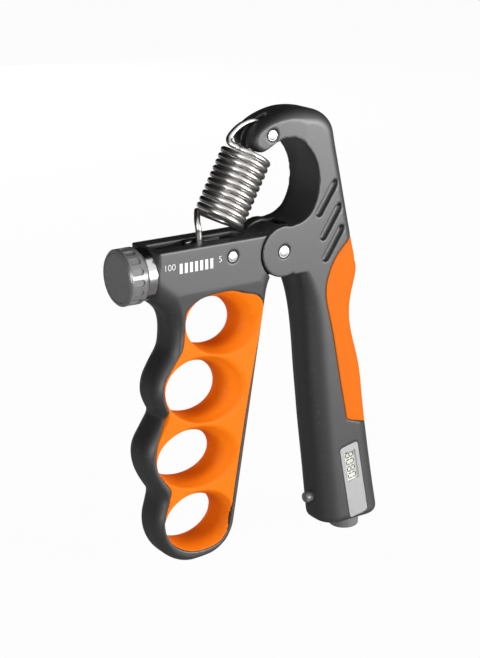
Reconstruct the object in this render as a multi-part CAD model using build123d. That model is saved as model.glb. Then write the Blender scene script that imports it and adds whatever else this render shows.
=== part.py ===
from build123d import *
import math
import os

# Adjustable hand grip strengthener. All sizes are in millimetres.
# The parts are drawn round the main pivot: X runs along the arm, Z up, and Y through the thickness,
# with the front at -Y. At the end everything is moved so that the origin lies under the middle of
# the whole object, at its lowest point.

# ---- driving dimensions -------------------------------------------------------------------------
body_thick = 18.4        # thickness of the arm, the hub and the hook
finger_thick = 15.0      # thickness of the finger handle
bar_round = 7.0          # rounding of the finger handle's outer bar
hook_round = 5.0         # rounding of the hook's outer edge
part_gap = 0.3           # clearance between pieces that must not touch
fit_gap = 0.05           # radial clearance of a running fit

# main pivot
ear_radius = 9.25
ear_thick = 4.6
ear_clear = 0.6          # gap round the ears in the arm
washer_thick = 0.4
washer_gap = 0.05
tongue_radius = 8.4
pivot_shank = 1.8
pivot_head = 2.1
bush_wall = 0.8
head_recess = 2.5
head_depth = 0.9

# arm and adjusting screw
arm_left = -51.6
arm_top = 7.0
arm_bottom = -11.3
screw_z = -1.8           # height of the screw's axis below the pivot
screw_radius = 2.4
screw_tail = 1.4
slot_half = 3.6
slot_left = -49.0
slot_right = -11.7
slot_floor = -6.0
boss_radius = 9.3        # the round end of the arm, behind the collar
boss_length = 0.5
small_head = 1.8
small_recess = 2.2
small_shank = 1.0
arm_rivet_at = (-21.7, 1.5)
block_length = 5.6
block_top = 4.2
nut_left = -35.2
nut_length = 6.5
nut_top = 3.2
lug_top = 6.6
lug_gap = 1.5            # half of the space between the slider's two lugs
slider_pin_radius = 1.1
slider_pin_at = (-32.05, 5.2)
slider_plate_thick = 0.9
slider_plate_length = 7.0
slider_plate_half = 1.4

# knob
knob_radius = 9.8
knob_length = 6.9
collar_length = 3.6
collar_radius = 9.1
nylon_thick = 0.3
flute_count = 16
flute_width = 2.4
flute_depth = 0.45
flute_start = 1.0        # from the outer face
flute_length = 4.2
cap_radius = 8.6
cap_depth = 1.1

# tension spring
wire_radius = 0.85
coil_radius = 7.95
coil_pitch = 2.31
coil_turns = 11
coil_foot = (-21.8, 12.4)
coil_lean = 28.6         # degrees that the coil leans from the vertical
hook_pin_at = (-4.2, 41.3)
hook_pin_radius = 1.1
fork_half = 1.25         # half of the slot in the hook's tip
fork_reach = 3.3         # how far the slot goes past the pin
tip_half = 6.9           # half of the thickness at the hook's tip

# palm handle: left edge, right edge and corner radius at evenly spaced heights, from the hub down
hub_foot = -9.0
palm_bottom = -111.2
palm_edges = [(6.6, 33.9, 4.4), (10.5, 33.4, 5.8), (12.1, 32.9, 6.8), (13.1, 35.3, 7.2),
              (13.9, 38.3, 7.5), (15.0, 39.9, 7.5), (16.1, 41.4, 7.5), (17.4, 43.1, 7.5),
              (18.7, 44.9, 7.5), (19.9, 46.8, 7.5), (21.2, 48.9, 7.5)]
groove_middles = [(18.5, 16.7), (20.5, 7.9), (21.7, -0.2)]
groove_length, groove_width, groove_depth = 14.6, 2.7, 1.8
groove_heading = 56.0
pad_thick = 2.2
pad_foot = palm_bottom + 41.5   # height of the pad's lower corner
foot_round = 2.5

# counter in the palm handle
pocket_half = 6.8
pocket_top = palm_bottom + 38.0
pocket_left, pocket_right = 25.5, 43.1
pocket_shift = 5.6       # how far the pocket moves left between its foot and its top
cap_thick = 2.6
plate_center = (33.3, palm_bottom + 17.0)
plate_tilt = 11.2        # degrees
plate_width, plate_length, plate_thick = 8.4, 30.0, 1.0
lcd_width, lcd_length, lcd_thick = 6.4, 13.6, 1.4
lcd_up = 6.2             # from the plate's centre to the display's centre
window_width, window_length, window_thick = 5.4, 12.4, 0.6
button_radius = 5.7
button_out = 4.9
button_x = 36.0
flange_radius = 6.1
flange_thick = 1.4
trigger_z = palm_bottom + 10.2
trigger_radius = 2.0
trigger_out = 3.0
housing_bottom = palm_bottom + 18.2
housing_wall = 1.2
switch_top = palm_bottom + 17.6
switch_bottom = palm_bottom + 6.8
switch_left, switch_right = 29.0, 40.0
board_thick = 1.0
cell_radius, cell_thick = 5.0, 2.6


# ---- helpers ------------------------------------------------------------------------------------
def upright(face, thick, middle=0.0):
    """A flat outline in X and Z, given a thickness in Y about the plane y = middle."""
    solid = extrude(Plane.XZ * face, amount=thick / 2, both=True)
    return Pos(0, middle, 0) * solid


def outline(*edges):
    return make_face(Curve() + list(edges))


def biarc(start, start_way, end, end_way):
    """Two arcs that leave one point and reach another in given directions."""
    span = end - start
    both = start_way + end_way
    spread = 2 * (1 - start_way.dot(end_way))
    reach = span.dot(both)
    if spread < 1e-9:
        step = span.dot(span) / (4 * span.dot(end_way))
    else:
        step = (-reach + math.sqrt(reach * reach + spread * span.dot(span))) / spread
    middle = (start + end + (start_way - end_way) * step) * 0.5
    way = (end - end_way * step - start - start_way * step).normalized()
    return [Edge.make_tangent_arc(start, start_way, middle), Edge.make_tangent_arc(middle, way, end)]


def flow(*stops):
    """A smooth run of arcs through stops, each given as x, z and the heading in degrees."""
    places = []
    for x, z, heading in stops:
        turn = math.radians(heading)
        places.append((Vector(x, z, 0), Vector(math.cos(turn), math.sin(turn), 0)))
    edges = []
    for (start, way), (end, end_way) in zip(places, places[1:]):
        edges += biarc(start, way, end, end_way)
    return edges


def across(radius, length, at, middle=0.0):
    """A cylinder along Y with its axis at (x, z)."""
    return Pos(at[0], middle, at[1]) * Rot(90, 0, 0) * Cylinder(radius, length)


def along(radius, start, end, z=screw_z):
    """A cylinder along X between two stations."""
    middle = Pos((start + end) / 2, 0, z)
    return middle * Rot(0, 90, 0) * Cylinder(radius, end - start)


def block(x0, x1, y0, y1, z0, z1):
    size = Box(x1 - x0, y1 - y0, z1 - z0)
    return Pos((x0 + x1) / 2, (y0 + y1) / 2, (z0 + z1) / 2) * size


def edges_near(solid, test):
    return [edge for edge in solid.edges() if test(edge.center())]


tongue_thick = body_thick - 2 * ear_thick - 2 * (washer_thick + 2 * washer_gap)
screw_axis_top = screw_z + screw_radius
coil_axis = Vector(math.sin(math.radians(coil_lean)), 0, math.cos(math.radians(coil_lean)))
coil_side = Vector(-coil_axis.Z, 0, coil_axis.X)


# ---- finger handle ------------------------------------------------------------------------------
def finger_outline():
    """The arm, the wavy outer bar with its three bumps, the round bottom and the straight inner edge."""
    start, inner_top, inner_foot = (arm_left, arm_bottom), (-4.75, -15.2), (-18.6, -98.5)
    wave = flow((*start, -40), (-46.9, -15.3, -50), (-44.5, -23.0, -90), (-46.4, -31.5, -126),
                (-52.1, -44.5, -90), (-49.8, -51.8, -60), (-50.0, -54.0, -122), (-56.3, -67.2, -90),
                (-50.9, -81.2, -55), (-50.4, -84.0, -103), (-52.4, -93.6, -90),
                (-47.6, -105.4, -46), (-36.4, -110.5, 0), (-25.0, -108.2, 33),
                (-21.0, -104.4, 58), (*inner_foot, 80))
    under_pivot = (-1.6, -7.9)
    return outline(*wave, Line(inner_foot, inner_top), *flow((*inner_top, 81), (*under_pivot, 48)),
                   Line(under_pivot, (0.4, arm_top)),
                   Line((0.4, arm_top), (arm_left, arm_top)), Line((arm_left, arm_top), start))


def liner_outline():
    """The soft lining that frames the four finger holes."""
    start, top, foot = (-40.6, -16.2), (-7.1, -19.6), (-21.2, -93.0)
    wave = flow((*start, -84), (-41.0, -27.4, -98), (-44.9, -34.2, -126), (-49.0, -42.6, -88),
                (-47.4, -49.8, -62), (-47.4, -51.4, -112), (-52.8, -67.4, -90), (-47.2, -79.2, -55),
                (-47.0, -82.0, -104), (-49.4, -92.5, -90), (-44.1, -102.8, -38), (-33.6, -106.2, 0),
                (-24.7, -103.3, 45), (*foot, 81))
    over = flow((*top, 110), (-13.2, -13.3, 170), (-23.3, -10.6, 178), (-34.0, -11.5, 195),
                (*start, 238))
    return outline(*wave, *flow((*foot, 81), (*top, 77)), *over)


def side_profile():
    """Seen from the side, the arm is thick and the finger handle thinner, with a slope between."""
    thick, thin = body_thick / 2, finger_thick / 2
    slope_top, slope_foot, low, high = -9.0, -24.0, -130.0, 20.0
    right = [(thick, high), (thick, slope_top), (thin, slope_foot), (thin, low)]
    left = [(-y, z) for y, z in reversed(right)]
    face = make_face(Polyline(*right, *left, close=True))
    return extrude(Plane.YZ * face, amount=80, both=True)


# finger holes: centre, half width, half height, tilt in degrees, and growth of the right side
finger_holes = [((-27.8, -22.3), 11.4, 9.0, -15, 7.0), ((-35.3, -45.3), 12.4, 10.1, -13, 8.5),
                ((-38.4, -69.8), 12.9, 9.3, -6, 7.5), ((-36.4, -94.3), 12.1, 9.1, -4, 3.8)]
hole_growth_left, hole_growth_high = 1.2, 2.4
hole_depths = [1.5, 3.6, 5.2, 6.4, 7.5, 9.2]


def hole_face(hole, y):
    """The section of a finger hole at a depth: it grows faster and faster towards both faces."""
    (x, z), wide, high, tilt, growth_right = hole
    flare = (2 * abs(y) / finger_thick) ** 3
    shift = (growth_right - hole_growth_left) / 2 * flare
    wide += (growth_right + hole_growth_left) / 2 * flare
    high += hole_growth_high * flare
    plane = Plane((x + shift, y, z), x_dir=(1, 0, 0), z_dir=(0, -1, 0))
    return plane * Rot(0, 0, tilt) * Ellipse(wide, high)


def finger_hole(hole):
    """One finger hole, flaring like a trumpet towards both faces."""
    depths = [-y for y in reversed(hole_depths)] + hole_depths
    return loft([hole_face(hole, y) for y in depths])


def finger_envelope():
    """The whole handle and arm: its outer bar is rounded almost to a tube."""
    solid = upright(finger_outline(), body_thick)

    def outer_bar(at):
        return at.X < -19 and abs(at.Y) > body_thick / 2 - 0.1 and at.Z < -12
    return fillet(edges_near(solid, outer_bar), bar_round) & side_profile()


def make_finger_liner(envelope):
    solid = upright(liner_outline(), body_thick) & envelope
    for hole in finger_holes:
        solid -= finger_hole(hole)
    return solid


def make_finger_frame(envelope):
    solid = envelope - upright(liner_outline(), body_thick + 2)
    solid += across(tongue_radius, body_thick, (0, 0))
    side = (body_thick - tongue_thick) / 2
    for sign in (-1, 1):
        solid -= across(ear_radius + ear_clear, side, (0, 0), sign * (tongue_thick + side) / 2)
    solid -= across(pivot_shank + bush_wall, body_thick, (0, 0))
    length = slot_right - slot_half - slot_left
    slot = block(slot_left, slot_left + length, -slot_half, slot_half, slot_floor, arm_top + 1)
    round_end = Pos(slot_left + length, 0, (slot_floor + arm_top + 1) / 2)
    slot += round_end * Cylinder(slot_half, arm_top + 1 - slot_floor)
    solid -= slot
    end = block(arm_left - 1, arm_left + boss_length, -20, 20, -14, 20)
    solid -= end - along(boss_radius, arm_left - 2, arm_left + boss_length + 1)
    solid -= along(screw_radius + fit_gap, arm_left - 1, slot_left + 1)
    solid -= across(small_shank, body_thick, arm_rivet_at)
    solid -= rivet_recesses(arm_rivet_at, small_recess, body_thick / 2)
    return solid


def rivet_recesses(at, radius, half):
    """The round recess at each end of a rivet, so that its heads lie below the faces."""
    return (across(radius, head_depth * 2, at, -half) + across(radius, head_depth * 2, at, half))


def rivet(at, shank, head, half):
    """A rivet across the body whose two low heads lie in recesses."""
    solid = across(shank, 2 * (half - head_depth), at)
    for sign in (-1, 1):
        face = half - head_depth
        solid += across(head, head_depth * 0.8, at, sign * (face + head_depth * 0.4))
    return solid


# ---- screw, slider and knob ---------------------------------------------------------------------
collar_right = arm_left
collar_left = collar_right - collar_length
knob_right = collar_left - nylon_thick
knob_left = knob_right - knob_length
web_left = knob_left + 3.2
clip_left = slot_left + part_gap
clip_thick = 0.8
clip_groove = 1.9
bearing_left = arm_rivet_at[0] - block_length / 2
bearing_right = arm_rivet_at[0] + block_length / 2


def make_lead_screw():
    solid = along(screw_radius, web_left, bearing_left - part_gap)
    solid += along(screw_tail, bearing_left - part_gap, bearing_right)
    groove = along(screw_radius + 1, clip_left, clip_left + clip_thick)
    groove -= along(clip_groove, clip_left, clip_left + clip_thick)
    solid -= groove
    solid -= along(1.25, web_left, web_left + 5)
    return solid


def make_retaining_clip():
    ring = along(slot_half - part_gap, clip_left, clip_left + clip_thick)
    ring -= along(clip_groove, clip_left, clip_left + clip_thick)
    mouth = block(clip_left, clip_left + clip_thick, -1.5, 1.5, screw_z, screw_z + slot_half)
    return ring - mouth


def make_screw_bearing():
    solid = block(bearing_left, bearing_right, -slot_half, slot_half, slot_floor, block_top)
    solid -= along(screw_tail + fit_gap, bearing_left - 1, bearing_right + 1)
    solid -= across(small_shank, body_thick, arm_rivet_at)
    return solid


def make_slider_nut():
    """The nut on the screw, with two lugs on top that hold the pin of the spring."""
    half = slot_half - part_gap
    floor = slot_floor + part_gap
    solid = block(nut_left, nut_left + nut_length, -half, half, floor, nut_top)
    lug = block(nut_left + 0.8, nut_left + nut_length, lug_gap, half, nut_top, lug_top)
    solid += lug + mirror(lug, about=Plane.XZ)
    well = block(nut_left, nut_left + nut_length, -lug_gap, lug_gap, screw_axis_top + 0.7, lug_top)
    solid -= well
    solid -= along(screw_radius + fit_gap, nut_left - 1, nut_left + nut_length + 1)
    solid -= across(slider_pin_radius, 2 * half, slider_pin_at)
    return solid


def make_slider_pin():
    return across(slider_pin_radius, 2 * (slot_half - part_gap), slider_pin_at)


def make_slider_plate():
    """A bright steel tongue that is fixed to the nut's right end and covers the screw's bearing."""
    left = nut_left + nut_length
    half = slider_plate_half
    foot = block(left, left + slider_plate_thick, -half, half, block_top - 2.4, lug_top)
    bottom = lug_top - slider_plate_thick
    top = block(left, left + slider_plate_length, -half, half, bottom, lug_top)
    corner = edges_near(top, lambda at: at.X > left + slider_plate_length - 0.1 and abs(at.Y) > 0.5)
    upright_corners = [edge for edge in corner if abs(edge.center().Y) > half - 0.1]
    return foot + fillet(upright_corners, 1.2)


def make_collar():
    ring = along(collar_radius, collar_left, collar_right)
    ring -= along(screw_radius + part_gap, collar_left - 1, collar_right + 1)
    return chamfer(ring.edges().filter_by(GeomType.CIRCLE).sort_by(SortBy.RADIUS)[-2:], 0.3)


def make_thrust_washer():
    ring = along(6.0, knob_right, collar_left)
    return ring - along(screw_radius + part_gap, knob_right - 1, collar_left + 1)


def make_knob():
    """The fluted knob, hollow at its outer end for its screw and cap."""
    solid = along(knob_radius, knob_left, knob_right)
    rims = solid.edges().filter_by(GeomType.CIRCLE)
    solid = chamfer(rims, 0.6)
    for index in range(flute_count):
        turn = Pos(0, 0, screw_z) * Rot(360 / flute_count * index, 0, 0)
        start = knob_left + flute_start
        stop = start + flute_length - flute_width / 2
        cut = block(start, stop, -flute_width / 2, flute_width / 2,
                    knob_radius - flute_depth, knob_radius + 1)
        end = Pos(stop, 0, knob_radius + 0.5 - flute_depth / 2) * Cylinder(
            flute_width / 2, 1 + flute_depth)
        solid -= turn * (cut + end)
    solid -= along(screw_radius, web_left, knob_right + 1)
    solid -= along(cap_radius, knob_left - 1, knob_left + cap_depth)
    solid -= along(3.4, knob_left, web_left - 0.8)
    solid -= along(1.6, knob_left, web_left + 0.1)
    return solid


def make_knob_screw():
    head_right = web_left - 0.8
    solid = along(2.8, head_right - 1.1, head_right) + along(1.25, head_right, web_left + 4.5)
    slot = block(head_right - 1.1, head_right - 0.6, -0.4, 0.4, screw_z - 3, screw_z + 3)
    return solid - slot


def make_knob_cap():
    disc = along(cap_radius, knob_left, knob_left + cap_depth)
    return chamfer(edges_near(disc, lambda at: at.X < knob_left + 0.05), 0.3)


# ---- tension spring -----------------------------------------------------------------------------
def coil_point(turns):
    """The wire's centre and its direction, a number of turns up the coil."""
    angle = 2 * math.pi * turns
    middle = Vector(coil_foot[0], 0, coil_foot[1]) + coil_axis * (coil_pitch * turns)
    side, front = coil_side * math.cos(angle), Vector(0, 1, 0) * math.sin(angle)
    place = middle + (side + front) * coil_radius
    run = (Vector(0, 1, 0) * math.cos(angle) - coil_side * math.sin(angle)) * coil_radius
    return place, (run + coil_axis * (coil_pitch / (2 * math.pi))).normalized()


def spring_path():
    """From the lower hook round the slider's pin, up the coil, and over to the pin in the tip."""
    first, last = 0.07, coil_turns - 0.07
    low = slider_pin_radius + wire_radius + 0.15
    pin_x, pin_z = slider_pin_at
    lead = 2 * wire_radius
    down, up = Vector(0, 0, -1), Vector(0, 0, 1)
    stops = [(Vector(pin_x - low, 0, pin_z), down), (Vector(pin_x, 0, pin_z - low), Vector(1, 0, 0)),
             (Vector(pin_x + low, 0, pin_z), up)]
    edges = [Edge.make_line(stops[0][0] + up * lead, stops[0][0])]
    for (start, way), (end, end_way) in zip(stops, stops[1:]):
        edges += biarc(start, way, end, end_way)
    rise = Vector(pin_x + low, 0, coil_foot[1] - 0.2)
    edges.append(Edge.make_line(stops[-1][0], rise))
    edges += biarc(rise, up, *coil_point(first))
    turns = [first] + [quarter / 4 for quarter in range(1, 4 * coil_turns)] + [last]
    for here, after in zip(turns, turns[1:]):
        edges += biarc(*coil_point(here), *coil_point(after))
    hook_x, hook_z = hook_pin_at
    high = hook_pin_radius + wire_radius + 0.15
    over = [(Vector(-17.9, 0, 41.6), Vector(0.3, 0, 0.954).normalized()),
            (Vector(-9.6, 0, 46.9), Vector(1, 0, 0)),
            (Vector(hook_x + high, 0, hook_z), down),
            (Vector(hook_x, 0, hook_z - high), Vector(-1, 0, 0))]
    edges += biarc(*coil_point(last), *over[0])
    for (start, way), (end, end_way) in zip(over, over[1:]):
        edges += biarc(start, way, end, end_way)
    edges.append(Edge.make_line(over[-1][0], over[-1][0] + Vector(-lead, 0, 0)))
    return Wire(edges)


def least_gap(path):
    """The least distance between stretches of the wire that are not neighbours along it."""
    step = 0.6
    count = int(path.length / step)
    points = [path @ (index / count) for index in range(count + 1)]
    apart = int(2.5 * math.pi * wire_radius / step) + 4
    least = min((first - second).length for index, first in enumerate(points)
                for second in points[index + apart:])
    return least - 2 * wire_radius


def make_tension_spring():
    path = spring_path()
    print("tension spring: least gap between turns", round(least_gap(path), 2))
    start = Plane(origin=path @ 0, z_dir=path % 0)
    tube = sweep(start * Circle(wire_radius), path=path)
    share = tube.volume / (math.pi * wire_radius ** 2 * path.length)
    print("tension spring: volume over section times length", round(share, 3))
    return tube


# ---- palm lever ---------------------------------------------------------------------------------
def hook_outline():
    """The hook, the round ear and the top of the palm handle."""
    ear_top = (2.7, math.sqrt(ear_radius ** 2 - 2.7 ** 2))
    ear_foot = (4.0, -math.sqrt(ear_radius ** 2 - 4.0 ** 2))
    low_left, low_right, tip = (4.5, hub_foot), (33.9, hub_foot), (-8.2, 35.3)
    outer = flow((*low_right, 94), (32.0, 0, 103), (24.4, 33.5, 103), (20.0, 45.4, 137),
                 (6.9, 49.3, 180), (-3.0, 47.4, 200), (-11.5, 39.0, 268), (*tip, 325))
    inner = flow((*tip, 30), (2.8, 39.8, -2), (12.3, 32.9, -56), (15.0, 23.0, -90),
                 (12.2, 13.2, -126), (7.1, 9.6, -162), (*ear_top, -172))
    return outline(ThreePointArc(ear_top, (-ear_radius, 0), ear_foot), Line(ear_foot, low_left),
                   Line(low_left, low_right), *outer, *inner)


def palm_section(index, inset=0.0):
    left, right, corner = palm_edges[index]
    z = hub_foot + (palm_bottom - hub_foot) * index / (len(palm_edges) - 1)
    wide = right - left - 2 * inset
    face = RectangleRounded(wide, body_thick - 2 * inset, corner - inset)
    return Pos((left + right) / 2, 0, z) * face


def palm_column(inset=0.0):
    return loft([palm_section(index, inset) for index in range(len(palm_edges))])


def pad_region():
    """Where the soft pad covers the handle, seen from the front."""
    return upright(outline(
        Line((62.0, 2.5), (31.5, 2.0)),
        Line((31.5, 2.0), (27.0, -1.2)),
        Spline((27.0, -1.2), (19.6, -12.2), (18.7, -17.0), (20.6, -27.6), (25.7, -51.4),
               (29.2, pad_foot + 1.7)),
        Spline((29.2, pad_foot + 1.7), (29.8, pad_foot + 0.7), (31.0, pad_foot + 0.1)),
        Line((31.0, pad_foot + 0.1), (62.0, pad_foot - 10.0)),
        Line((62.0, pad_foot - 10.0), (62.0, 2.5)),
    ), 2 * body_thick)


def grip_grooves():
    """Three slanted grooves in each face of the hub."""
    flat = Plane.XZ * SlotOverall(groove_length, groove_width)
    low, high = body_thick / 2 - groove_depth, body_thick / 2 + 1
    group = []
    for x, z in groove_middles:
        slot = Pos(x, 0, z) * Rot(0, -groove_heading, 0) * extrude(flat, amount=high, both=True)
        group += [slot & block(0, 60, low, high, -60, 60), slot & block(0, 60, -high, -low, -60, 60)]
    return Compound(group)


def lever_envelope():
    hook = upright(hook_outline(), body_thick)

    def outer_edge(at):
        outside = at.X > 20 or at.Z > 42 or at.X < -8.5 and at.Z > 36
        return outside and abs(at.Y) > body_thick / 2 - 0.1 and at.Z > hub_foot + 0.1
    hook = fillet(edges_near(hook, outer_edge), hook_round) - grip_grooves()
    wedge_start, wedge_end = 9.0, -13.0
    for sign in (-1, 1):
        half = body_thick / 2
        corner = Polyline((wedge_start, sign * half), (wedge_end, sign * tip_half),
                          (wedge_end, sign * (half + 2)), (wedge_start, sign * (half + 2)), close=True)
        hook -= Pos(0, 0, 30) * extrude(make_face(corner), amount=25)
    column = palm_column()
    foot = edges_near(column, lambda at: at.Z < palm_bottom + 0.01)
    return hook + fillet(foot, foot_round)


def pad_space():
    """The region that the soft pad fills, outside the handle's hard core."""
    core = palm_column(pad_thick)
    top = palm_section(0, pad_thick)
    return pad_region() - (core + extrude(top, amount=14))


def plate_place(up=0.0):
    """The place on the front of the palm handle of a piece of the display."""
    x, z = plate_center
    return Pos(x, 0, z) * Rot(0, -plate_tilt, 0) * Pos(0, 0, up)


def front_slab(width, length, thick, front, up=0.0, corner=0.0):
    """A flat piece in the handle's front face, between y = front and y = front + thick."""
    face = RectangleRounded(width, length, corner) if corner else Rectangle(width, length)
    slab = extrude(Plane.XZ * face, amount=-thick)
    return plate_place(up) * Pos(0, front, 0) * slab


def pocket(inset=0.0, bottom=palm_bottom, top=pocket_top):
    """The leaning pocket in the palm handle, or the shape of something that fits in it."""
    lean = pocket_shift / (pocket_top - palm_bottom)
    low, high = (bottom - palm_bottom) * lean, (top - palm_bottom) * lean
    corners = [(pocket_left + inset - low, bottom), (pocket_right - inset - low, bottom),
               (pocket_right - inset - high, top), (pocket_left + inset - high, top)]
    return upright(make_face(Polyline(*corners, close=True)), 2 * (pocket_half - inset))


plate_front = -body_thick / 2 - 0.15
lcd_front = plate_front + plate_thick + 0.05


def make_palm_lever(envelope, space):
    solid = envelope - space
    gap = tongue_thick + 2 * (washer_thick + 2 * washer_gap)
    solid -= across(ear_radius + ear_clear, gap, (0, 0))
    solid -= across(pivot_shank, body_thick, (0, 0))
    solid -= rivet_recesses((0, 0), head_recess, body_thick / 2)
    fork = block(-20, hook_pin_at[0] + fork_reach, -fork_half, fork_half, 30, 60)
    solid -= fork
    solid -= across(hook_pin_radius, body_thick, hook_pin_at)
    solid -= rivet_recesses(hook_pin_at, small_recess, tip_face)
    solid -= pocket()
    solid -= front_slab(plate_width + 0.1, plate_length + 0.1, plate_thick + 2, plate_front - 2,
                        corner=1.2)
    solid -= front_slab(lcd_width + 0.2, lcd_length + 0.2, body_thick / 2, plate_front, lcd_up)
    solid -= along(trigger_radius + fit_gap, 10, pocket_left + 2, trigger_z)
    return solid


tip_face = tip_half + (body_thick / 2 - tip_half) * (hook_pin_at[0] + 13.0) / 22.0


def make_hook_rivet():
    return rivet(hook_pin_at, hook_pin_radius, small_head, tip_face)


def make_pivot_bush():
    tube = across(pivot_shank + bush_wall, tongue_thick, (0, 0))
    return tube - across(pivot_shank + fit_gap, body_thick, (0, 0))


def make_pivot_washers():
    middle = tongue_thick / 2 + washer_gap + washer_thick / 2
    group = []
    for sign in (-1, 1):
        disc = across(6.5, washer_thick, (0, 0), sign * middle)
        group.append(disc - across(pivot_shank + fit_gap, body_thick, (0, 0)))
    return Compound(children=[Solid(piece.solid().wrapped) for piece in group])


# ---- counter ------------------------------------------------------------------------------------
def make_display_plate():
    slab = front_slab(plate_width, plate_length, plate_thick, plate_front, corner=1.2)
    return slab - front_slab(window_width, window_length, 3, plate_front - 1, lcd_up, corner=0.4)


def make_display_window():
    front = plate_front + 0.1
    return front_slab(window_width - 0.1, window_length - 0.1, window_thick, front, lcd_up, corner=0.35)


def make_lcd():
    return front_slab(lcd_width, lcd_length, lcd_thick, lcd_front, lcd_up)


def make_counter_housing():
    solid = pocket(part_gap, housing_bottom, pocket_top - 1)
    inner = pocket(part_gap + housing_wall, housing_bottom + housing_wall,
                   pocket_top - 1 - housing_wall)
    inner = inner + Pos(0, -2 * housing_wall, 0) * inner
    return solid - inner


board_front = -pocket_half + part_gap + 1.6


def make_counter_board():
    inside = pocket(part_gap + housing_wall, housing_bottom + housing_wall, pocket_top - 1 - housing_wall)
    return inside & block(0, 60, board_front, board_front + board_thick, palm_bottom, pocket_top)


def make_counter_cell():
    back = board_front + board_thick
    height = (housing_bottom + pocket_top) / 2
    lean = pocket_shift / (pocket_top - palm_bottom)
    at = ((pocket_left + pocket_right) / 2 - (height - palm_bottom) * lean, height)
    disc = across(cell_radius, cell_thick, at, back + cell_thick / 2)
    return chamfer(disc.edges().filter_by(GeomType.CIRCLE), 0.3)


def make_switch_block():
    """The two small switches, one above the reset button and one beside the trigger."""
    half = pocket_half - part_gap
    return block(switch_left, switch_right, -half, half, switch_bottom, switch_top)


def make_end_cap():
    solid = pocket(0.1, palm_bottom, palm_bottom + cap_thick)
    return solid - Pos(button_x, 0, palm_bottom) * Cylinder(button_radius + fit_gap, 3 * cap_thick)


def make_reset_button():
    inner = palm_bottom + cap_thick + 0.1
    length = inner - (palm_bottom - button_out)
    solid = Pos(button_x, 0, palm_bottom - button_out + length / 2) * Cylinder(button_radius, length)
    rim = edges_near(solid, lambda at: at.Z < palm_bottom - button_out + 0.05)
    solid = fillet(rim, 0.8)
    return solid + Pos(button_x, 0, inner + flange_thick / 2) * Cylinder(
        flange_radius, flange_thick)


palm_step = (hub_foot - palm_bottom) / (len(palm_edges) - 1)
lean_of_left = (palm_edges[-2][0] - palm_edges[-1][0]) / palm_step
trigger_left = palm_edges[-1][0] + lean_of_left * (trigger_z - palm_bottom) - trigger_out
trigger_wall = pocket_left - (trigger_z - palm_bottom) * pocket_shift / (pocket_top - palm_bottom)


def make_trigger_plunger():
    inner = trigger_wall + trigger_radius * 0.2
    solid = along(trigger_radius, trigger_left, inner, trigger_z)
    solid = fillet(edges_near(solid, lambda at: at.X < trigger_left + 0.05), 0.7)
    return solid + along(trigger_radius + 0.8, inner, inner + 1.0, trigger_z)


# ---- assembly -----------------------------------------------------------------------------------
def build():
    grip = finger_envelope()
    lever = lever_envelope()
    space = pad_space()
    return {
        "finger_frame": make_finger_frame(grip),
        "finger_liner": make_finger_liner(grip),
        "pivot_bush": make_pivot_bush(),
        "screw_bearing": make_screw_bearing(),
        "arm_rivet": rivet(arm_rivet_at, small_shank, small_head, body_thick / 2),
        "collar_ring": make_collar(),
        "thrust_washer": make_thrust_washer(),
        "lead_screw": make_lead_screw(),
        "retaining_clip": make_retaining_clip(),
        "adjust_knob": make_knob(),
        "knob_screw": make_knob_screw(),
        "knob_cap": make_knob_cap(),
        "slider_nut": make_slider_nut(),
        "slider_pin": make_slider_pin(),
        "slider_plate": make_slider_plate(),
        "tension_spring": make_tension_spring(),
        "palm_lever": make_palm_lever(lever, space),
        "palm_pad": lever & space,
        "hook_rivet": make_hook_rivet(),
        "pivot_rivet": rivet((0, 0), pivot_shank, pivot_head, body_thick / 2),
        "pivot_washers": make_pivot_washers(),
        "display_plate": make_display_plate(),
        "display_window": make_display_window(),
        "lcd_module": make_lcd(),
        "counter_housing": make_counter_housing(),
        "counter_board": make_counter_board(),
        "counter_cell": make_counter_cell(),
        "switch_block": make_switch_block(),
        "end_cap": make_end_cap(),
        "reset_button": make_reset_button(),
        "trigger_plunger": make_trigger_plunger(),
    }


def ground_shift(nodes):
    """The move that puts the origin under the middle of the object, at its lowest point."""
    boxes = [node.bounding_box() for node in nodes.values()]
    low = [min(getattr(box.min, axis) for box in boxes) for axis in "XYZ"]
    high = [max(getattr(box.max, axis) for box in boxes) for axis in "XYZ"]
    return Pos(-(low[0] + high[0]) / 2, -(low[1] + high[1]) / 2, -low[2])


nodes = build()
shift = ground_shift(nodes)
os.makedirs("parts", exist_ok=True)
for name, shape in nodes.items():
    export_step(shift * shape, f"parts/{name}.step")
print("pivot lies at", shift.position)
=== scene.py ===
import math

import bmesh
import bpy
from mathutils import Matrix, Vector


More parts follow.
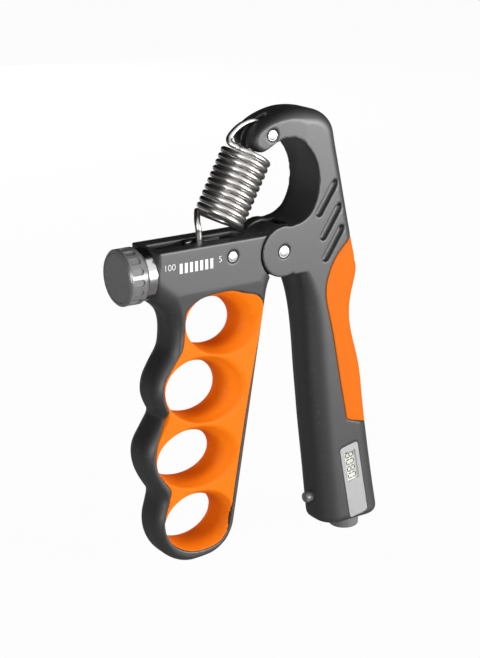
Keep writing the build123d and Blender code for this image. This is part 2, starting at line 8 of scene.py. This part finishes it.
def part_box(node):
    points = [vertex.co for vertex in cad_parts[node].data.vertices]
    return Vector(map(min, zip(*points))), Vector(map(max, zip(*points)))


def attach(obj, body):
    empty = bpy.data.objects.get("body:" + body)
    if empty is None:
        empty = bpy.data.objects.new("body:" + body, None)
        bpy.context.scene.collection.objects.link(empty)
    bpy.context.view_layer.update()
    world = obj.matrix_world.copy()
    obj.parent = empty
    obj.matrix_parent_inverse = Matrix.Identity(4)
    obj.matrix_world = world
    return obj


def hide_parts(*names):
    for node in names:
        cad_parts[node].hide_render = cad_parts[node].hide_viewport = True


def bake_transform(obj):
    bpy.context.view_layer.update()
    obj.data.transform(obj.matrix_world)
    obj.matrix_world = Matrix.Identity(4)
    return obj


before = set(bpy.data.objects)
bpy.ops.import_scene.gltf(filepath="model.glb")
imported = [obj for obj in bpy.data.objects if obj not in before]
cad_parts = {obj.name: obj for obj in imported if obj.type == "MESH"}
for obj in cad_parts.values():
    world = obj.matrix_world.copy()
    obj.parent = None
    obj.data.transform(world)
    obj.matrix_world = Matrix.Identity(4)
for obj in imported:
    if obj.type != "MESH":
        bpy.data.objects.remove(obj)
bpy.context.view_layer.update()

# ---- Palm lever ------------------------------------------------------------------------------------
# One glass-filled nylon moulding: handle, hub with two ears, and the hook that carries the spring.
# Its edges are soft from the mould, and the surface is a satin dark grey with a very fine spark texture.

MM = 0.001
low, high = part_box("pivot_bush")
pivot = (low + high) / 2


def place(x, y, z):
    """A point given in millimetres from the main pivot."""
    return pivot + Vector((x, y, z)) * MM


class Link:
    """A value in a node tree. Arithmetic on it adds Math nodes."""

    def __init__(self, nodes, socket):
        self.nodes = nodes
        self.socket = socket

    def math(self, operation, *values):
        return self.nodes.node("ShaderNodeMath", {"operation": operation}, dict(enumerate(values)))

    def __add__(self, other):
        return self.math("ADD", self, other)

    def __radd__(self, other):
        return self.math("ADD", other, self)

    def __sub__(self, other):
        return self.math("SUBTRACT", self, other)

    def __rsub__(self, other):
        return self.math("SUBTRACT", other, self)

    def __mul__(self, other):
        return self.math("MULTIPLY", self, other)

    def __rmul__(self, other):
        return self.math("MULTIPLY", other, self)

    def between(self, start, end):
        """0 below start, 1 above end, smooth between."""
        settings = {"interpolation_type": "SMOOTHSTEP"}
        return self.nodes.node("ShaderNodeMapRange", settings, {0: self, 1: start, 2: end})


class Nodes:
    """The node tree of a material or a world, with one way to add any node to it."""

    def __init__(self, owner):
        owner.use_nodes = True
        self.tree = owner.node_tree

    def node(self, kind, settings=None, inputs=None, output=0):
        made = self.tree.nodes.new(kind)
        for name, value in (settings or {}).items():
            setattr(made, name, value)
        for name, value in (inputs or {}).items():
            self.connect(made.inputs[name], value)
        return Link(self, made.outputs[output])

    def connect(self, socket, value):
        if isinstance(value, Link):
            self.tree.links.new(value.socket, socket)
        else:
            socket.default_value = value

    def blend(self, amount, first, second):
        """A colour between two colours."""
        settings = {"data_type": "RGBA"}
        return self.node("ShaderNodeMix", settings, {0: amount, 6: first, 7: second}, output=2)

    def ray(self, kind):
        """1 for rays of one kind, such as those straight from the camera."""
        return self.node("ShaderNodeLightPath", output=f"Is {kind} Ray")

    def show(self, amount, first, second):
        """What the tree puts out: a mix of two shaders."""
        mixed = self.node("ShaderNodeMixShader", {}, {0: amount, 1: first, 2: second})
        self.connect(self.tree.get_output_node("ALL").inputs["Surface"], mixed)


class Finish(Nodes):
    """A material with one Principled shader, built from a few calls."""

    def __init__(self, name, **fixed):
        self.material = bpy.data.materials.new(name)
        super().__init__(self.material)
        self.shader = next(n for n in self.tree.nodes if n.type == "BSDF_PRINCIPLED")
        for socket, value in fixed.items():
            self.feed(socket.replace("_", " "), value)

    def feed(self, name, value):
        self.connect(self.shader.inputs[name], value)

    def noise(self, scale, detail=2.0):
        where = self.node("ShaderNodeTexCoord", output="Object")
        values = {"Vector": where, "Scale": scale, "Detail": detail, "Roughness": 0.5}
        return self.node("ShaderNodeTexNoise", {}, values)

    def bump(self, height, strength, distance):
        values = {"Strength": strength, "Distance": distance, "Height": height}
        self.feed("Normal", self.node("ShaderNodeBump", {}, values))


def grey(level, warm=0.0):
    return (level * (1 + warm), level, level * (1 - warm), 1)


def edge_wear_and_highlight(finish):
    """Close to 1 on convex edges: handled wear on the plastic, a painted highlight on the rubber."""
    edge_start, edge_full = 0.56, 0.61
    point = finish.node("ShaderNodeNewGeometry", output="Pointiness")
    return point.between(edge_start, edge_full)


# The pale orange is a painted highlight for the rubber's edges. The lighter grey is the plastic's
# handled edges.
rubbed_plastic, painted_rubber_highlight = grey(0.09), (1.0, 0.40, 0.12, 1)
grain_depth = 0.2 * MM


def moulded_plastic(name, dark, light, rough):
    """Dark satin plastic: fine spark texture, slight clouding, and edges polished by hands."""
    finish = Finish(name, Specular_IOR_Level=0.78)
    clouds = finish.noise(60, 3)
    wear_and_highlight = edge_wear_and_highlight(finish)
    body = finish.blend(clouds, dark, light)
    finish.feed("Base Color", finish.blend(wear_and_highlight * 0.35, body, rubbed_plastic))
    finish.feed("Roughness", rough + (clouds - 0.5) * 0.10 - wear_and_highlight * 0.08)
    grain = finish.noise(2600, 1) * 0.7 + finish.noise(900, 2) * 0.3
    finish.bump(grain, 0.10, grain_depth)
    return finish.material


def new_piece(name, mesh, material, body=None):
    """An object for a mesh, in one material, that rides on a body."""
    mesh.materials.clear()
    mesh.materials.append(material)
    piece = bpy.data.objects.new(name, mesh)
    bpy.context.scene.collection.objects.link(piece)
    if body:
        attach(piece, body)
    return piece


def mesh_from(work, name, smooth=True):
    """The mesh that a bmesh holds, with its faces turned outwards."""
    bmesh.ops.recalc_face_normals(work, faces=work.faces)
    mesh = bpy.data.meshes.new(name)
    work.to_mesh(mesh)
    work.free()
    if smooth:
        mesh.shade_smooth()
    return mesh


def bridge(work, first, second):
    """Faces between two closed rows of points."""
    for side in range(len(first)):
        after = (side + 1) % len(first)
        work.faces.new((first[side], first[after], second[after], second[side]))


def clean_copy(node, name):
    """A new mesh with the shape of a solid, its seams closed."""
    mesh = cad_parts[node].data.copy()
    mesh.name = name
    mesh.materials.clear()
    work = bmesh.new()
    work.from_mesh(mesh)
    bmesh.ops.remove_doubles(work, verts=work.verts, dist=1e-6)
    work.to_mesh(mesh)
    work.free()
    piece = bpy.data.objects.new(name, mesh)
    bpy.context.scene.collection.objects.link(piece)
    return piece


def bake_modifiers(piece):
    """The mesh as its modifiers leave it."""
    bpy.context.view_layer.update()
    graph = bpy.context.evaluated_depsgraph_get()
    made = bpy.data.meshes.new_from_object(piece.evaluated_get(graph), depsgraph=graph)
    piece.modifiers.clear()
    piece.data = made


def moulded(node, name, body, material, grid=0.4, rounds=6):
    """A moulded piece: the solid's shape, remeshed evenly with its edges softened."""
    piece = clean_copy(node, name)
    remesh = piece.modifiers.new("even", "REMESH")
    remesh.mode = "VOXEL"
    remesh.voxel_size = grid * MM
    soften = piece.modifiers.new("soften", "SMOOTH")
    soften.factor = 0.5
    soften.iterations = rounds
    bake_modifiers(piece)
    piece.data.name = name
    piece.data.shade_smooth()
    piece.data.materials.clear()
    piece.data.materials.append(material)
    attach(piece, body)
    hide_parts(node)
    return piece


grip_plastic = moulded_plastic("grip plastic", grey(0.030), grey(0.037), 0.46)
moulded("palm_lever", "palm_moulding", "palm", grip_plastic)

# ---- Palm pad --------------------------------------------------------------------------------------
# A soft orange elastomer that is moulded over the heel side of the handle, flush with the hard plastic.
# It has no gloss coat; a fine bloom breaks its sheen, and its edges carry a painted highlight. Its
# orange is a darker copy of the lining's, as painted shade against the stronger lamp light it faces.


def soft_rubber(name, deep, bright, rough):
    """Coloured elastomer: slight clouding, a painted highlight in pale orange on its edges, and a fine
    matt grain.
    """
    finish = Finish(name, Specular_IOR_Level=0.12)
    clouds = finish.noise(45, 3)
    wear_and_highlight = edge_wear_and_highlight(finish)
    body = finish.blend(clouds, deep, bright)
    # Painted highlight: convex edges are mixed a quarter of the way to pale orange.
    finish.feed("Base Color", finish.blend(wear_and_highlight * 0.25, body, painted_rubber_highlight))
    finish.feed("Roughness", rough + (clouds - 0.5) * 0.12)
    finish.bump(finish.noise(1900, 2), 0.06, grain_depth)
    return finish.material


orange_rubber = soft_rubber("orange rubber", (0.84, 0.172, 0.003, 1), (0.90, 0.192, 0.004, 1), 0.55)
# Painted shade: the pad's orange is a darker copy of the lining's, to offset the stronger lamp light on
# it.
pad_rubber_painted_shade = soft_rubber("pad rubber painted shade", (0.68, 0.136, 0.002, 1), (0.73, 0.150, 0.003, 1), 0.6)
moulded("palm_pad", "palm_cushion", "palm", pad_rubber_painted_shade)

# ---- Finger handle ---------------------------------------------------------------------------------
# The arm and the outer bar are one moulding in the same dark plastic as the palm lever.
# The soft lining with its four finger openings is moulded into it in the orange elastomer.

moulded("finger_frame", "finger_moulding", "finger", grip_plastic, grid=0.32)
moulded("finger_liner", "finger_lining", "finger", orange_rubber, grid=0.32, rounds=8)

# ---- Rivets ----------------------------------------------------------------------------------------
# Three steel rivets with low domed heads that sit in round recesses, one each for the main pivot,
# the screw's bearing in the arm, and the upper end of the spring. Their heads are satin.


def plated(name, color, rough):
    """Bare or plated metal, with faint duller patches."""
    dull, spread = 0.86, 0.06
    finish = Finish(name, Metallic=1.0)
    patches = finish.noise(300, 3)
    finish.feed("Base Color", finish.blend(patches, color, [c * dull for c in color[:3]] + [1]))
    finish.feed("Roughness", rough + (patches - 0.5) * spread)
    return finish.material


def assign(node, material):
    """A new material on a solid that is shown as it is."""
    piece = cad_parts[node]
    piece.data.materials.clear()
    piece.data.materials.append(material)


bright_steel = plated("bright steel", grey(0.70), 0.36)
dome_rise = 0.28 * MM
for node in ("pivot_rivet", "arm_rivet", "hook_rivet"):
    assign(node, bright_steel)

nylon = Finish("nylon", Base_Color=grey(0.7, 0.02))
nylon.feed("Roughness", 0.45 + nylon.noise(400) * 0.1)
for node in ("pivot_washers", "pivot_bush", "thrust_washer"):
    assign(node, nylon.material)


def dome(name, node, body, radius, rise, front, material):
    """The low domed head on the end of a rivet; front is -1 for the front face and 1 for the back."""
    low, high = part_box(node)
    face = low.y if front < 0 else high.y
    middle = (low + high) / 2
    work = bmesh.new()
    rings, sides = 7, 40
    rows = []
    for ring in range(rings):
        angle = math.pi / 2 * ring / rings
        reach, height = radius * math.cos(angle), rise * math.sin(angle)
        rows.append([work.verts.new((middle.x + reach * math.cos(2 * math.pi * side / sides),
                                     face + front * height,
                                     middle.z + reach * math.sin(2 * math.pi * side / sides)))
                     for side in range(sides)])
    top = work.verts.new((middle.x, face + front * rise, middle.z))
    for first, second in zip(rows, rows[1:]):
        bridge(work, first, second)
    for side in range(sides):
        work.faces.new((rows[-1][side], rows[-1][(side + 1) % sides], top))
    work.faces.new(rows[0][::-1])
    new_piece(name, mesh_from(work, name), material, body)


for node, body, radius in (("pivot_rivet", "palm", 1.9), ("arm_rivet", "finger", 1.7),
                           ("hook_rivet", "palm", 1.65)):
    for side, front in (("front", -1), ("back", 1)):
        dome(f"{node}_dome_{side}", node, body, radius * MM, dome_rise, front, bright_steel)

# ---- Tension spring --------------------------------------------------------------------------------
# Round music wire, cold-wound close into one body and nickel-plated, with a long hook at each end.
# The lower hook runs down into the arm round the slider's pin, the upper one over into the hook's slot.

slider_low, slider_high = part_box("slider_pin")
slider_pin = (slider_low + slider_high) / 2
rivet_low, rivet_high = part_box("hook_rivet")
hook_pin = (rivet_low + rivet_high) / 2
wire_radius = 1.1 * MM
coil_radius = 7.95 * MM
coil_pitch = 2.31 * MM
coil_turns = 11
coil_foot = place(-21.8, 0, 12.4)
coil_lean = math.radians(28.6)
coil_axis = Vector((math.sin(coil_lean), 0, math.cos(coil_lean)))
coil_side = Vector((-coil_axis.z, 0, coil_axis.x))


def coil_point(turns):
    """A point on the coil's centre line, so many turns up from its foot."""
    angle = 2 * math.pi * turns
    middle = coil_foot + coil_axis * (coil_pitch * turns)
    return middle + (coil_side * math.cos(angle) + Vector((0, 1, 0)) * math.sin(angle)) * coil_radius


def through(points, steps=10):
    """A smooth line through points."""
    line = []
    ends = [points[0] * 2 - points[1]] + points + [points[-1] * 2 - points[-2]]
    for a, b, c, d in zip(ends, ends[1:], ends[2:], ends[3:]):
        for step in range(steps):
            t = step / steps
            line.append(0.5 * (2 * b + (c - a) * t + (2 * a - 5 * b + 4 * c - d) * t * t
                               + (3 * b - a - 3 * c + d) * t * t * t))
    return line + [points[-1]]


def tube(name, line, radius, material, sides=14):
    """A round wire along a line, with closed ends."""
    work = bmesh.new()
    rows = []
    forward = (line[1] - line[0]).normalized()
    across = forward.orthogonal().normalized()
    for index, point in enumerate(line):
        before, after = line[max(index - 1, 0)], line[min(index + 1, len(line) - 1)]
        forward = (after - before).normalized()
        across = (across - forward * across.dot(forward)).normalized()
        other = forward.cross(across)
        rows.append([work.verts.new(point + (across * math.cos(turn) + other * math.sin(turn)) * radius)
                     for turn in (2 * math.pi * side / sides for side in range(sides))])
    for first, second in zip(rows, rows[1:]):
        bridge(work, first, second)
    work.faces.new(rows[0][::-1])
    work.faces.new(rows[-1])
    return new_piece(name, mesh_from(work, name), material)


# The lower hook starts at its cut end, passes under the slider's pin and rises to the coil.
low_bend = slider_high.x - slider_pin.x + wire_radius + 0.1 * MM
cut_end, rise = 1.6 * MM, 4 * MM
lower_hook = [slider_pin + Vector((-low_bend, 0, cut_end)), slider_pin + Vector((-low_bend, 0, 0))]
lower_hook += [slider_pin + Vector((-math.cos(a) * low_bend, 0, -math.sin(a) * low_bend))
               for a in (math.pi * step / 8 for step in range(1, 8))]
lower_hook += [slider_pin + Vector((low_bend, 0, 0)), slider_pin + Vector((low_bend, 0, rise)),
               place(-29.95, 0, 11.0), place(-29.6, 1.2, 13.4)]
first_turn, middle_turn, last_turn = 0.09, coil_turns / 2, coil_turns - 0.07
half_steps = 200
lower_half = through(lower_hook + [coil_point(first_turn)], 6)
lower_coil = [coil_point(first_turn + (middle_turn - first_turn) * step / half_steps)
              for step in range(1, half_steps + 1)]
upper_coil = [coil_point(middle_turn + (last_turn - middle_turn) * step / half_steps)
              for step in range(half_steps + 1)]
# The upper hook leaves the coil at the back and goes over and round the rivet in the hook's tip.
high_bend = rivet_high.x - hook_pin.x + wire_radius
upper_hook = [upper_coil[-1], place(-17.6, -1.6, 39.2), place(-17.3, -0.4, 40.7), place(-14.9, 0, 42.9),
              place(-11.6, 0, 44.8), place(-7.4, 0, 45.6)]
upper_hook += [hook_pin + Vector((math.cos(a) * high_bend, 0, math.sin(a) * high_bend))
               for a in (math.radians(d) for d in (75, 40, 0, -45, -90))]
spring_steel = plated("spring steel", grey(0.62, 0.03), 0.30)
lower = tube("spring_lower", lower_half + lower_coil, wire_radius, spring_steel)
upper = tube("spring_upper", upper_coil + through(upper_hook, 8)[1:], wire_radius, spring_steel)
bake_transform(lower)
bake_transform(upper)
for half in (lower, upper):
    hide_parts("tension_spring")

# ---- Adjusting screw -------------------------------------------------------------------------------
# Turned steel screw in the arm, with a blackened nut that carries the spring's lower pin and a bright
# tongue, and a blackened bearing block. A clip behind the collar holds the screw.

plain_steel = plated("plain steel", grey(0.55), 0.30)
for node in ("lead_screw", "retaining_clip", "slider_pin", "knob_screw"):
    assign(node, plain_steel)
black_steel = plated("blackened steel", grey(0.07), 0.38)
for node in ("slider_nut", "screw_bearing"):
    assign(node, black_steel)
assign("slider_plate", bright_steel)

# ---- Knob and collar -------------------------------------------------------------------------------
# The knob is a dark grey moulding with rounded flutes and a flat cap, and turns against a bright
# plated ring. The reset button and the trigger are moulded in the same plastic.

knob_plastic = moulded_plastic("knob plastic", grey(0.17), grey(0.19), 0.28)
for node in ("adjust_knob", "knob_cap", "reset_button", "trigger_plunger"):
    assign(node, knob_plastic)
silver_ring = plated("silver ring", grey(0.72), 0.18)
assign("collar_ring", silver_ring)

# ---- Scale on the arm ------------------------------------------------------------------------------
# White pad-printed marks on the front of the arm: seven bars, and a plain number at each end.
# The ink is thin and slightly uneven in its sheen.

white_ink = Finish("white ink", Base_Color=grey(0.9))
white_ink.feed("Roughness", 0.4 + white_ink.noise(800) * 0.15)
arm_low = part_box("finger_frame")[0]


def flat_piece(name, polygons, y_front, y_back, material, body):
    """Flat outlines in X and Z, given in metres, as thin raised pieces."""
    work = bmesh.new()
    for polygon in polygons:
        front = [work.verts.new((x, y_front, z)) for x, z in polygon]
        back = [work.verts.new((x, y_back, z)) for x, z in polygon]
        work.faces.new(front)
        work.faces.new(back[::-1])
        for index in range(len(polygon)):
            after = (index + 1) % len(polygon)
            work.faces.new((front[index], back[index], back[after], front[after]))
    new_piece(name, mesh_from(work, name, smooth=False), material, body)


ink_proud = 0.03 * MM
ink_front, ink_back = arm_low.y - ink_proud, arm_low.y + 0.15 * MM
bar_count, first_bar, bar_pitch, bar_width = 7, -43.4, 2.05, 1.15
bar_foot, bar_head = -1.2, 2.3
bars = []
for index in range(bar_count):
    left = pivot.x + (first_bar + index * bar_pitch) * MM
    right = left + bar_width * MM
    bottom, top = pivot.z + bar_foot * MM, pivot.z + bar_head * MM
    bars.append([(left, bottom), (right, bottom), (right, top), (left, top)])
flat_piece("scale_bars", bars, ink_front, ink_back, white_ink.material, "finger")


def number(name, text, size, at, depth, material, body):
    """Plain figures, built as a mesh on the front face."""
    curve = bpy.data.curves.new(name, "FONT")
    curve.body = text
    curve.size = size
    curve.align_x = "CENTER"
    curve.align_y = "CENTER"
    curve.extrude = depth
    curve.offset = -0.05 * MM
    letters = bpy.data.objects.new(name + "_curve", curve)
    bpy.context.scene.collection.objects.link(letters)
    bpy.context.view_layer.update()
    graph = bpy.context.evaluated_depsgraph_get()
    mesh = bpy.data.meshes.new_from_object(letters.evaluated_get(graph), depsgraph=graph)
    bpy.data.objects.remove(letters)
    mesh.transform(Matrix.Translation(at) @ Matrix.Rotation(math.radians(90), 4, "X"))
    new_piece(name, mesh, material, body)


ink_depth = (ink_back - ink_front) / 2
ink_middle = (ink_back + ink_front) / 2
number_size, number_height = 3.2 * MM, 1.4
for name, text, x in (("scale_high", "100", -47.3), ("scale_low", "5", -27.0)):
    at = place(x, 0, number_height)
    at.y = ink_middle
    number(name, text, number_size, at, ink_depth, white_ink.material, "finger")

# ---- Counter ---------------------------------------------------------------------------------------
# A satin silver plate, set flush in the palm handle, frames a pale liquid-crystal display.
# Its four figures are dark segments behind a clear window; the rest of the plate is bare.

plate_finish = Finish("plate", Metallic=0.35)
speckle = plate_finish.noise(900, 3)
plate_finish.feed("Base Color", plate_finish.blend(speckle, grey(0.38), grey(0.45)))
plate_finish.feed("Roughness", 0.42 + speckle * 0.12)
assign("display_plate", plate_finish.material)
lcd_finish = Finish("display", Roughness=0.5)
lcd_finish.feed("Base Color", lcd_finish.blend(lcd_finish.noise(200), (0.93, 0.92, 0.84, 1),
                                               (0.97, 0.96, 0.90, 1)))
assign("lcd_module", lcd_finish.material)
window = Finish("window", Base_Color=(1, 1, 1, 1), Roughness=0.08, IOR=1.45, Transmission_Weight=1.0)
assign("display_window", window.material)
inner = moulded_plastic("inner plastic", grey(0.03), grey(0.04), 0.5)
for node in ("counter_housing", "switch_block"):
    assign(node, inner)
board = Finish("board", Roughness=0.5)
board.feed("Base Color", board.blend(board.noise(300), (0.02, 0.13, 0.05, 1), (0.03, 0.17, 0.07, 1)))
assign("counter_board", board.material)
assign("counter_cell", plain_steel)
assign("end_cap", grip_plastic)

lcd_low, lcd_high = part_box("lcd_module")
lcd_middle = (lcd_low + lcd_high) / 2
plate_tilt = math.radians(11.2)
along_plate = Vector((-math.sin(plate_tilt), 0, math.cos(plate_tilt)))
across_plate = Vector((math.cos(plate_tilt), 0, math.sin(plate_tilt)))
segments = {"a": (0, 1, 0), "b": (1, 0.5, 1), "c": (1, -0.5, 1), "d": (0, -1, 0),
            "e": (-1, -0.5, 1), "f": (-1, 0.5, 1), "g": (0, 0, 0)}
figures = {"0": "abcdef", "8": "abcdefg"}
digit_half_width, digit_half_height = 0.95 * MM, 1.7 * MM
digit_pitch, stroke = 2.9 * MM, 0.21 * MM
shapes = []
for index, figure in enumerate("8080"):
    base = lcd_middle + along_plate * ((1.5 - index) * digit_pitch)
    for segment in figures[figure]:
        u, v, upright = segments[segment]
        run = digit_half_height * 0.42 if upright else digit_half_width * 0.78
        # The figures read along the handle, so their own right points down the plate.
        right, up = -along_plate, across_plate
        middle = base + right * (u * digit_half_width) + up * (v * digit_half_height)
        long, wide = (up, right) if upright else (right, up)
        corners = [middle + long * (a * run) + wide * (b * stroke)
                   for a, b in ((-1, 0), (-0.75, 1), (0.75, 1), (1, 0), (0.75, -1), (-0.75, -1))]
        shapes.append([(corner.x, corner.z) for corner in corners])
figure_ink = Finish("figures", Base_Color=grey(0.012))
figure_ink.feed("Roughness", 0.35 + figure_ink.noise(500) * 0.1)
flat_piece("display_figures", shapes, lcd_low.y - ink_proud, lcd_low.y + 0.1 * MM,
           figure_ink.material, "palm")

# ---- Studio ----------------------------------------------------------------------------------------
# A pale floor under the object, a white surround for the camera and for mirrored rays, and large
# soft lamps. Dark cards beside and behind the object give the metal its dark bands.

reach = 6.0
floor_mesh = bpy.data.meshes.new("floor")
floor_mesh.from_pydata([(-reach, -reach, 0), (reach, -reach, 0), (reach, reach, 0), (-reach, reach, 0)],
                       [], [(0, 1, 2, 3)])
floor_look = Finish("floor")
floor = new_piece("floor", floor_mesh, floor_look.material)
glow_share = 0.97
seen = floor_look.ray("Camera")
paint = floor_look.blend(seen, grey(0.45), grey(0.85))
matt = floor_look.node("ShaderNodeBsdfDiffuse", {}, {"Color": paint})
floor_look.show(seen * glow_share, matt, floor_look.node("ShaderNodeEmission"))

world = bpy.data.worlds.new("studio")
bpy.context.scene.world = world
studio = Nodes(world)
white = studio.node("ShaderNodeBackground", {}, {"Color": (1, 1, 1, 1), "Strength": 1.0})
soft = studio.node("ShaderNodeBackground", {}, {"Color": (0.95, 0.97, 1, 1), "Strength": 0.07})
straight = studio.ray("Camera")
straight = straight.math("MAXIMUM", straight, studio.ray("Transmission"))
studio.show(straight.math("MAXIMUM", straight, studio.ray("Glossy")), soft, white)

target = place(-12.6, 0, -28.5)


def stand(thing, azimuth, elevation, distance):
    """Puts a lamp or the camera round the object, in degrees and metres, and aims it."""
    a, e = math.radians(azimuth), math.radians(elevation)
    way = Vector((math.sin(a) * math.cos(e), -math.cos(a) * math.cos(e), math.sin(e)))
    thing.location = target + distance * way
    thing.rotation_euler = (target - thing.location).to_track_quat("-Z", "Y").to_euler()


def lamp(name, azimuth, elevation, distance, width, height, power, mirrored=True):
    """A soft rectangular lamp that looks at the object, and may show in shiny surfaces."""
    light = bpy.data.lights.new(name, "AREA")
    light.shape = "RECTANGLE"
    light.size = width
    light.size_y = height
    light.energy = power
    holder = bpy.data.objects.new(name, light)
    holder.visible_glossy = mirrored
    bpy.context.scene.collection.objects.link(holder)
    stand(holder, azimuth, elevation, distance)


# Each lamp: azimuth and elevation in degrees, distance, width and height in metres, and power in watts.
lamp("key", 32, 3, 1.4, 1.0, 0.48, 30)
lamp("fill", -48, 16, 1.0, 0.9, 0.5, 1.4)
lamp("side_strip", -62, 5, 0.8, 0.05, 0.36, 1.7)
lamp("top", 30, 70, 0.9, 0.3, 0.3, 0.25, mirrored=False)
lamp("back", 172, 6, 1.2, 0.7, 0.4, 11, mirrored=False)

card_mesh = bpy.data.meshes.new("dark_cards")
card_reach, card_height = 1.5, 1.8
card_start, card_step, card_posts = -65, 10, 23
card_turns = [math.radians(card_start - card_step * step) for step in range(card_posts)]
foot = [(card_reach * math.sin(turn), -card_reach * math.cos(turn), 0) for turn in card_turns]
head = [(x, y, card_height) for x, y, z in foot]
walls = [(i, i + 1, len(foot) + i + 1, len(foot) + i) for i in range(len(foot) - 1)]
card_mesh.from_pydata(foot + head, [], walls + [tuple(range(len(foot), 2 * len(foot)))])
card_finish = Finish("card", Base_Color=grey(0.01), Roughness=1.0, Specular_IOR_Level=0.0)
cards = new_piece("dark_cards", card_mesh, card_finish.material)
cards.visible_camera = False
cards.visible_diffuse = False
cards.visible_transmission = False
cards.visible_shadow = False

camera_data = bpy.data.cameras.new("camera")
frame_height, focal_share = 36, 1600 / 658
camera_data.sensor_width = frame_height
camera_data.lens = focal_share * frame_height
camera_data.clip_start = 0.05
camera_data.clip_end = 20
camera = bpy.data.objects.new("camera", camera_data)
bpy.context.scene.collection.objects.link(camera)
camera_azimuth, camera_elevation, camera_distance = -34.4, 17.7, 0.5691
stand(camera, camera_azimuth, camera_elevation, camera_distance)
bpy.context.scene.camera = camera
bpy.context.scene.view_settings.view_transform = "Standard"
